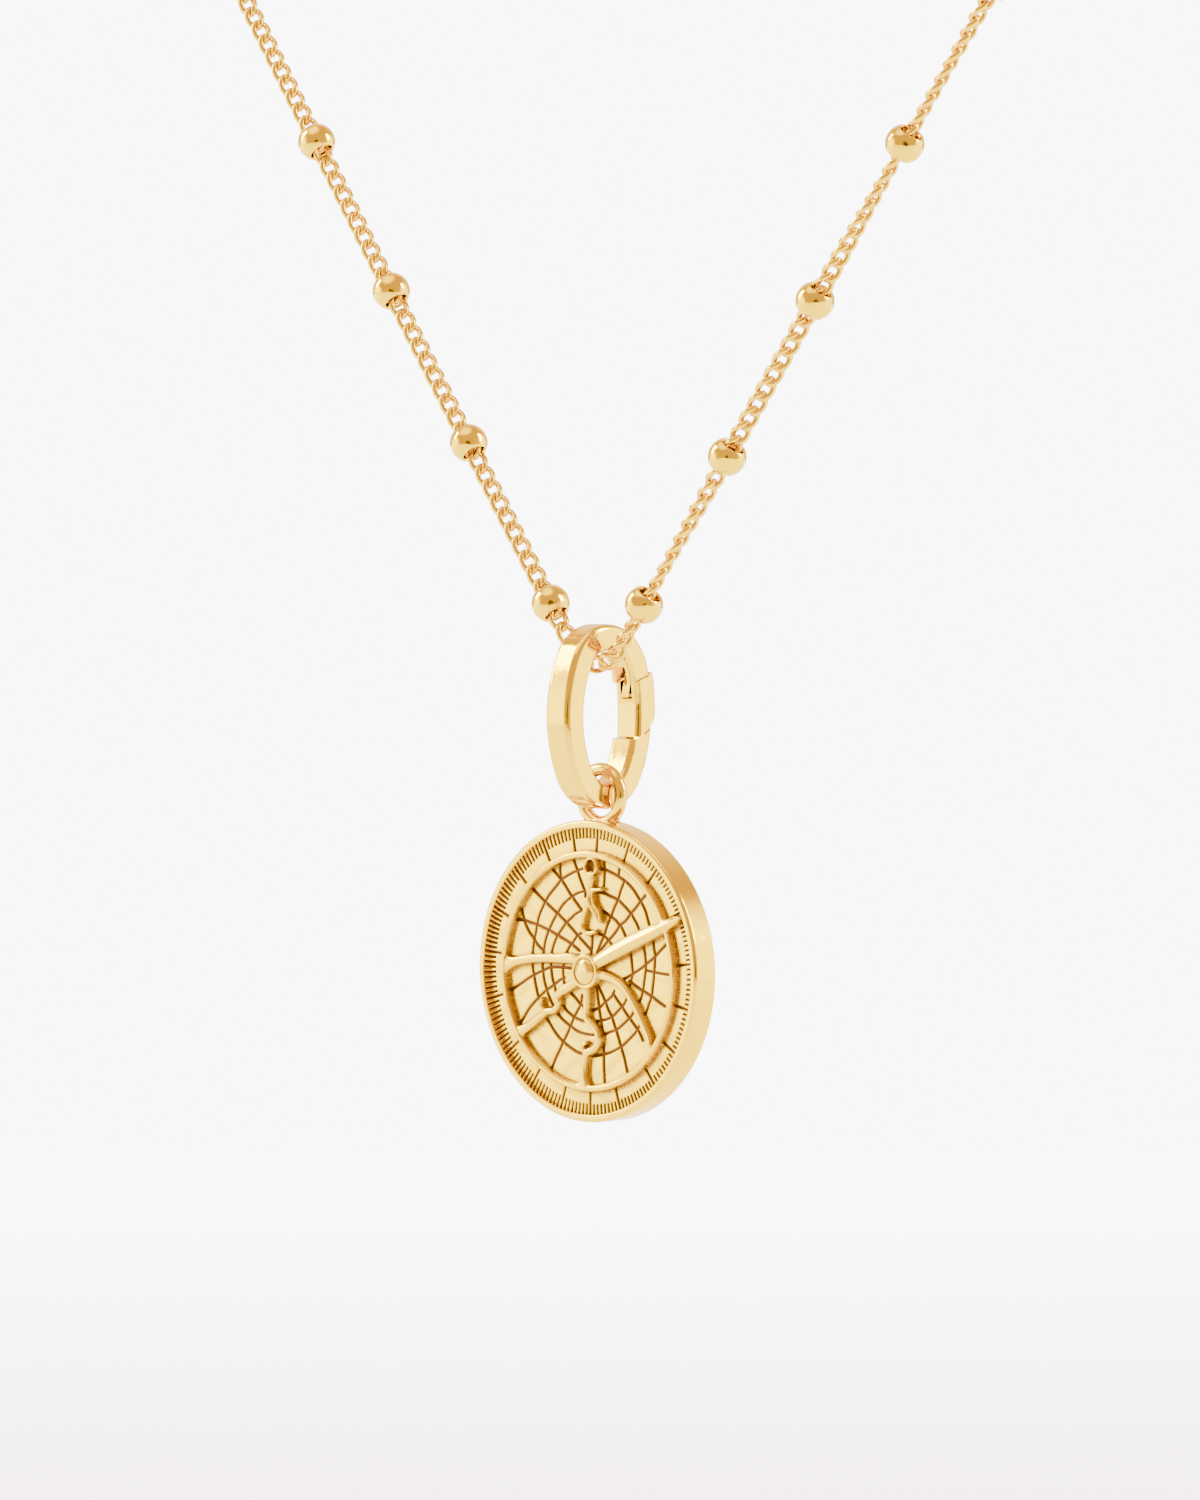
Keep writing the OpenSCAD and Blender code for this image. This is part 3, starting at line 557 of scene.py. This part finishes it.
def raised_field(p):
    """Height of the raised work at points p, distance to it, share of the way out from its middle, and
    whether they are in the eyelet's hole."""
    r = np.hypot(p[:, 0], p[:, 1])
    q = turned(p, -DIAL_TURN)
    top = DROP * TOP_SHARE
    h = np.zeros(len(p))
    edge = np.full(len(p), FAR)
    side = np.ones(len(p))

    def add(height, dist, half):
        nonlocal h, edge, side
        h = smax(h, height, BLEND)
        edge = np.minimum(edge, dist - half)
        side = np.minimum(side, np.clip(dist / half, 0, 1))

    for rows in ARMS + CURLS:
        dist, w = line_distance(q, catmull(np.array(rows) * RING_IN, ARM_STEPS))
        dist = dist + ARM_FALL * np.maximum(r - RING_OUT + ARM_SHORT, 0)
        half = np.maximum(w * ARM_WIDEN, MIN_HALF)
        add(bead_profile(dist, half, top), dist, half)
    # Ring, then eyelet
    mid, half = (RING_IN + RING_OUT) / 2, (RING_OUT - RING_IN) / 2
    add(bead_profile(np.abs(r - mid), half, DROP, RING_WALL), np.abs(r - mid), half)
    er = np.hypot(q[:, 0] - EYELET[0], q[:, 1] - EYELET[1])
    mid, half = (EYELET_R + EYELET_HOLE) / 2, (EYELET_R - EYELET_HOLE) / 2
    add(bead_profile(np.abs(er - mid), half, top), np.abs(er - mid), half)
    # Rule: a ridged blade
    dist, w = line_distance(turned(q, RULE_ANGLE), catmull(np.array(RULE) * RING_IN, ARM_STEPS))
    half = np.maximum(w / 2, MIN_HALF)
    x = np.clip(dist / half, 0, 1)
    ridge = (DROP + RISE) * (1 - RULE_SLOPE * x) * (RULE_WALL + (1 - RULE_WALL) * np.sqrt(1 - x ** RULE_SHARP))
    add(np.where(dist < half, ridge, 0), dist, half)
    # Collar round the rivet, and the rivet's dome
    inside = r < COLLAR_R
    swell = np.clip(1 - (np.abs(r - COLLAR_MID) / COLLAR_HALF) ** COLLAR_FULL, 0, 1)
    collar = (DROP + RISE) * (COLLAR_WALL + (1 - COLLAR_WALL) * np.sqrt(swell))
    h = np.where(inside, np.maximum(h, collar), h)
    dome = DROP + RIVET_LIFT + RIVET_RISE * np.sqrt(np.clip(1 - (r / RIVET_ROUND) ** 2, 0, 1))
    h = np.where(r < RIVET_R, dome, h)
    edge = np.minimum(edge, r - COLLAR_R)
    side = np.where(inside, np.clip(np.abs(r - GAP_MID) / GAP_HALF, 0, 1) * (r > RIVET_R), side)
    return h, edge, side, er < EYELET_HOLE


def engraved_lines():
    """Every engraved line of the dial with its half width."""
    lines = [(catmull(rows, LINE_STEPS), half) for group, half in ((ARCS, ARC_HALF), (RAYS, RAY_HALF))
             for rows in group]
    marks = []
    for a, after in zip(MARKS, MARKS[1:] + [MARKS[0] + 360]):
        marks.append((a, MARK_IN, MARK_OUT, MARK_HALF))
        k = int(round((after - a) / TICK_STEP))
        marks += [(a + (after - a) * j / k, TICK_IN, TICK_OUT, TICK_HALF) for j in range(1, k)]
    for a, r0, r1, half in marks:
        u = np.array([math.sin(math.radians(a)), math.cos(math.radians(a))])
        lines.append((np.array([u * r0, u * r1]), half))
    return lines


def engraving(p):
    """Depth of the grooves and darkness of their lines at points p."""
    depth, dark = np.zeros(len(p)), np.zeros(len(p))
    for line, half in engraved_lines():
        lo, hi = line.min(0) - LINE_REACH, line.max(0) + LINE_REACH
        near = np.flatnonzero(((p > lo) & (p < hi)).all(1))
        if len(near) == 0:
            continue
        dist, _ = line_distance(p[near], line)
        groove = GROOVE_DEPTH * np.clip(1 - dist / (half * GROOVE_SPREAD), 0, 1) ** GROOVE_POWER
        depth[near] = np.maximum(depth[near], groove)
        dark[near] = np.maximum(dark[near], smooth01((half * LINE_SPREAD - dist) / (half * LINE_FADE)))
    return depth, dark


def plate_wave(x, z):
    """Slow waves, since the plate isn't quite flat; the rates are chosen so that they never line up."""
    return WAVE * np.sin(x * 2.6 + 1.3 * np.sin(z * 1.9)) * np.sin(z * 2.3 + 0.8 + 1.1 * np.sin(x * 1.7))


def dial_field(p):
    """Height above the dial, painted shade with its sandy grain, and dark lines with painted shade, at points p
    (x, z from the middle).
    """
    r = np.hypot(p[:, 0], p[:, 1])
    h, edge, side, hole = raised_field(p)
    _, low_edge, _, _ = raised_field(p - LOW_SIDE)
    flat = h < ON_PLATE
    groove = np.zeros(len(p))
    # Painted shade: a dark ring in the crease round the rivet's dome
    ink_and_shade = np.exp(-((r - RIVET_LINE_R) / RIVET_LINE_W) ** 2) * RIVET_SHADE
    groove[flat], dark = engraving(p[flat])
    ink_and_shade[flat] = np.maximum(ink_and_shade[flat], dark)
    # Painted shade with a sandy grain: the plate is darker and sandy close to anything raised, most of all below
    # and to the right of it, and at the foot of the rim
    rim = np.maximum(DIAL_R - r, 0)
    near, low = np.exp(-np.maximum(edge, 0) / NEAR_FADE), np.exp(-np.maximum(low_edge, 0) / LOW_FADE)
    halo = HALO_SHARE * np.maximum(near, LOW_SHARE * low)
    on_plate = np.maximum(halo, RIM_SHARE * np.exp(-rim / RIM_FADE))
    # Painted shade also fills the eyelet's hole and darkens the raised work towards its edges
    sand_and_shade = np.where(hole, 1.0, np.where(flat, on_plate, SIDE_SHARE * side ** SIDE_POWER))
    # Painted shade in the eyelet's hole, added to the dark lines
    ink_and_shade = np.where(hole & flat, HOLE_SHADE, ink_and_shade)
    return h - groove + plate_wave(p[:, 0], p[:, 1]) * smooth01(rim / WAVE_FADE), sand_and_shade, ink_and_shade


def hexagon_rings(rings, step, limit):
    """Points on rings of 6, 12, 18 and so on round the middle, the triangles between them, and the ring
    of each triangle."""
    pts, start = [np.zeros((1, 2))], [0, 1]
    for i in range(1, rings + 1):
        a = round_angles(6 * i)
        pts.append(min(i * step, limit) * np.stack([np.sin(a), np.cos(a)], -1))
        start.append(start[-1] + 6 * i)
    faces, ring_of = [], []
    for i in range(rings):
        n0, n1, s0, s1 = max(6 * i, 1), 6 * (i + 1), start[i], start[i + 1]
        for sixth in range(6):
            k = np.arange(i + 1)
            outer = s1 + (sixth * (i + 1) + k) % n1
            tris = [np.stack([outer, s1 + (sixth * (i + 1) + k + 1) % n1, s0 + (sixth * i + k) % n0], -1)]
            k = k[:-1]
            inner = s0 + (sixth * i + k) % n0
            tris.append(np.stack([inner, s1 + (sixth * (i + 1) + k + 1) % n1,
                                  s0 + (sixth * i + k + 1) % n0], -1))
            faces += tris
            ring_of += [np.full(len(tri), i) for tri in tris]
    return np.concatenate(pts), np.concatenate(faces), np.concatenate(ring_of)


def build_dial():
    step = DENSE
    rings = int(round((DIAL_R + step) / step))
    split = int(round(SPLIT_R / step))
    p, faces, ring_of = hexagon_rings(rings, step, DIAL_R + DIAL_LAP)
    h, sand_and_shade, ink_and_shade = dial_field(p)
    v = np.stack([p[:, 0], -(DIAL + h), p[:, 1]], -1) + DISC
    a, b, c = v[faces[:, 0]], v[faces[:, 1]], v[faces[:, 2]]
    fn = np.cross(b - a, c - a)
    if fn[:, 1].mean() > 0:
        faces, fn = faces[:, ::-1], -fn
    normals = np.zeros_like(v)
    for k in range(3):
        np.add.at(normals, faces[:, k], fn)
    normals = unit(normals)
    for name, part in (("dial_middle", ring_of < split), ("dial_scale", ring_of >= split)):
        f = faces[part]
        used = np.unique(f)
        back = np.zeros(len(v), int)
        back[used] = np.arange(len(used))
        new_object(name, v[used], back[f], M_DIAL, "pendant", normals=normals[used],
                   attributes={"sand_and_shade": sand_and_shade[used], "ink_and_shade": ink_and_shade[used]})


def arc(cx, cy, r, start, end, count):
    angles = [math.radians(a) for a in np.linspace(start, end, count)]
    return [(cx + r * math.cos(a), cy + r * math.sin(a)) for a in angles]


def build_disc():
    """Rim, edge and back of the disc: a profile of radius and height, turned round."""
    seg = 256
    e = EDGE_R
    # The wall round the dial, its rounded lip and the top of the rim
    prof = [(DIAL_R - 0.01, DIAL - 0.03), (DIAL_R + 0.002, DIAL + 0.03), (DIAL_R + 0.004, FRONT - LIP_R - 0.01)]
    prof += arc(DIAL_R + LIP_R + 0.004, FRONT - LIP_R, LIP_R, 180, 100, 5)
    prof += [(DIAL_R + 0.1, FRONT - 0.001), (DISC_R - e - 0.02, FRONT)]
    # The edge between its two rounded corners
    prof += arc(DISC_R - e, FRONT - e, e, 88, 2, 8)
    prof += [(DISC_R, z) for z in (FRONT - e - 0.03, 0.2, -0.2, e - FRONT + 0.03)]
    prof += arc(DISC_R - e, e - FRONT, e, -2, -88, 8)
    # The back, in to the middle
    prof += [(r, -FRONT) for r in (DISC_R - e - 0.03, 7.4, 6.0, 3.0, 0.6, 0.0005)]
    prof = np.array(prof)
    ang = round_angles(seg)[:, None]
    v = np.stack([prof[None, :, 0] * np.sin(ang), np.tile(-prof[None, :, 1], (seg, 1)),
                  prof[None, :, 0] * np.cos(ang)], -1)
    faces = grid_faces(seg, len(prof), True, False)
    ob = new_object("pendant_body", v.reshape(-1, 3) + DISC, faces, M_DISC, "pendant")
    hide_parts("pendant")


def build_loop():
    """Wire loop over the disc, and the solder between its foot and the disc's edge."""
    seg, sides = ((72, 24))
    u, w = round_angles(seg)[:, None], round_angles(sides)
    rr = LOOP_R + LOOP_WIRE * np.cos(w)
    v = np.stack([rr[None] * np.cos(u), np.tile(LOOP_WIRE * np.sin(w), (seg, 1)), rr[None] * np.sin(u)], -1)
    verts = v.reshape(-1, 3) + (DISC + [0, LOOP_BACK, LOOP_Z])
    faces = np.array(grid_faces(seg, sides, True, True))
    rows, count = SOLDER_ROWS - 1, SOLDER_SIDES
    long, deep, high = SOLDER_HALVES
    a = ((np.arange(1, SOLDER_ROWS) / SOLDER_ROWS - 0.5) * PI)[:, None]
    b = round_angles(count)[None]
    ball = np.stack([np.tile(np.sin(a) * long, (1, count)), np.cos(a) * np.cos(b) * deep,
                     np.cos(a) * np.sin(b) * high], -1).reshape(-1, 3)
    first = len(verts)
    last = first + (rows - 1) * count
    faces = np.r_[faces, np.array(grid_faces(rows, count, False, True)) + first].tolist()
    faces += [[first + k for k in range(count)], [last + k for k in reversed(range(count))]]
    verts = np.r_[verts, ball + DISC + [0, LOOP_BACK, SOLDER_Z]]
    new_object("pendant_loop", verts, faces, M_DISC, "pendant")


build_chain()
build_beads()
build_dial()
build_disc()
build_loop()
for name, mat in (("link_body", M_LINK), ("link_gate", M_LINK), ("hinge_pin", M_LINK),
                  ("clasp", M_CLASP), ("clasp_ring", M_CLASP)):
    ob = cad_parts[name]
    ob.data.materials.clear()
    ob.data.materials.append(mat)

# Studio, in metres
FLOOR_R, FLOOR_Z, FLOOR_SIDES, FLOOR_MIDDLE_Y = 0.7, -0.2, 96, -0.095
FLOOR_WHITE, FLOOR_SHADE, FLOOR_ROUGH = (0.9, 0.9, 0.9), 0.985, 0.6
FLOOR_MOTTLE = (30.0, 2.0, 0.5)
# The floor glows more towards its far edge, where it meets the backdrop
FAR_SIDE, GLOW_NEAR, GLOW_FAR, GLOW_LOW, GLOW_HIGH = (-0.695, 0.719, 0), 0.1, 0.55, 1.2, 7.6
BACKDROP, ROOM = 9.0, 1.5
# Soft patches of the room: azimuth, elevation, inner and outer angle in degrees, and brightness
PATCHES = [(224, 15, 20, 60, 2.8), (-50, -2, 10, 36, 6.4), (138, 3, 12, 40, 5.6), (-20, 72, 15, 35, 4.4),
           (44, -4, 4, 20, 0.15)]
# The dim parts of the room are warm and the lights warm white, with the backdrop white
DIM, BRIGHT = 1.0, 6.0
DIM_TINT, BRIGHT_TINT, WHITE = (1, 0.56, 0.35), (1, 0.87, 0.7), (1, 1, 1)
SOFTBOX_AIM, SOFTBOX_AWAY, SOFTBOX_WATTS = Vector((0, -0.095, -0.125)), 0.6, 4.0
# Azimuth and elevation in degrees, width and height
SOFTBOXES = [("softbox_left", -62, 30, 0.2, 0.3), ("softbox_right", 128, 30, 0.15, 0.3)]


def direction(az, el):
    """Unit direction at an azimuth from the front, + to the right, and an elevation, in degrees."""
    a, e = math.radians(az), math.radians(el)
    return (math.sin(a) * math.cos(e), -math.cos(a) * math.cos(e), math.sin(e))


def look_at(ob, place):
    ob.rotation_euler = (place - ob.location).to_track_quat("-Z", "Y").to_euler()


def floor_material():
    m = bpy.data.materials.new("floor_white")
    m.use_nodes = True
    nt = m.node_tree
    b = nt.nodes["Principled BSDF"]
    b.inputs["Roughness"].default_value = FLOOR_ROUGH
    tone = mix_colour(nt, noise(nt, *FLOOR_MOTTLE), FLOOR_WHITE, tuple(c * FLOOR_SHADE for c in FLOOR_WHITE))
    feed(nt, b.inputs["Base Color"], tone)
    b.inputs["Emission Color"].default_value = (1, 1, 1, 1)
    far = dot_with(nt, nt.nodes.new("ShaderNodeTexCoord").outputs["Object"], FAR_SIDE)
    feed(nt, b.inputs["Emission Strength"], map_range(nt, far, GLOW_NEAR, GLOW_FAR, GLOW_LOW, GLOW_HIGH))
    return m


def build_floor():
    me = bpy.data.meshes.new("floor")
    turns = [2 * PI * i / FLOOR_SIDES for i in range(FLOOR_SIDES)]
    rim = [(FLOOR_R * math.sin(a), FLOOR_R * math.cos(a) + FLOOR_MIDDLE_Y, FLOOR_Z) for a in turns]
    me.from_pydata(rim, [], [list(reversed(range(FLOOR_SIDES)))])
    me.materials.append(floor_material())
    floor = bpy.data.objects.new("floor", me)
    bpy.context.scene.collection.objects.link(floor)


def studio_world():
    """A pale room: dim all round, four soft bright patches, a dark one to the right and a white backdrop."""
    world = bpy.data.worlds.new("studio")
    bpy.context.scene.world = world
    world.use_nodes = True
    nt = world.node_tree
    sky = nt.nodes.new("ShaderNodeTexCoord").outputs["Generated"]

    def step(value, mask, level):
        m = nt.nodes.new("ShaderNodeMix")
        for socket, v in zip((m.inputs["Factor"], m.inputs[2], m.inputs[3]), (mask, value, level)):
            feed(nt, socket, v)
        return m.outputs[0]

    v = ROOM
    for az, el, inner, outer, level in PATCHES:
        near = dot_with(nt, sky, direction(az, el))
        mask = map_range(nt, near, math.cos(math.radians(outer)), math.cos(math.radians(inner)), smooth=True)
        v = step(v, mask, level)
    backdrop = nt.nodes.new("ShaderNodeLightPath").outputs["Is Camera Ray"]
    warm = mix_colour(nt, map_range(nt, v, DIM, BRIGHT), DIM_TINT, BRIGHT_TINT)
    background = nt.nodes["Background"]
    feed(nt, background.inputs["Strength"], step(v, backdrop, BACKDROP))
    feed(nt, background.inputs["Color"], mix_colour(nt, backdrop, warm, WHITE))


def softbox(name, az, el, width, height):
    light = bpy.data.lights.new(name, "AREA")
    light.shape = "RECTANGLE"
    light.size, light.size_y = width, height
    light.energy = SOFTBOX_WATTS
    ob = bpy.data.objects.new(name, light)
    ob.location = SOFTBOX_AIM + SOFTBOX_AWAY * Vector(direction(az, el))
    look_at(ob, SOFTBOX_AIM)
    bpy.context.scene.collection.objects.link(ob)


build_floor()
studio_world()
for name, az, el, width, height in SOFTBOXES:
    softbox(name, az, el, width, height)

# Camera: a long lens, in millimetres, that looks at a point above the disc, a little to the right of it
CAM_AZ, CAM_EL, CAM_AWAY, AIM_UP, AIM_RIGHT = 44, 3.3, 0.47, 11.7 * MM, 0.2 * MM
CAM_LENS, CAM_SENSOR, CAM_NEAR, CAM_FAR = 213, 36, 0.01, 50
cam_data = bpy.data.cameras.new("camera")
cam_data.lens, cam_data.sensor_width = CAM_LENS, CAM_SENSOR
cam_data.clip_start, cam_data.clip_end = CAM_NEAR, CAM_FAR
cam = bpy.data.objects.new("camera", cam_data)
disc_middle = Vector(DISC * MM)
cam.location = disc_middle + Vector(direction(CAM_AZ, CAM_EL)) * CAM_AWAY
right = Vector((math.cos(math.radians(CAM_AZ)), math.sin(math.radians(CAM_AZ)), 0))
look_at(cam, disc_middle + Vector((0, 0, AIM_UP)) + right * AIM_RIGHT)
bpy.context.scene.collection.objects.link(cam)
bpy.context.scene.camera = cam
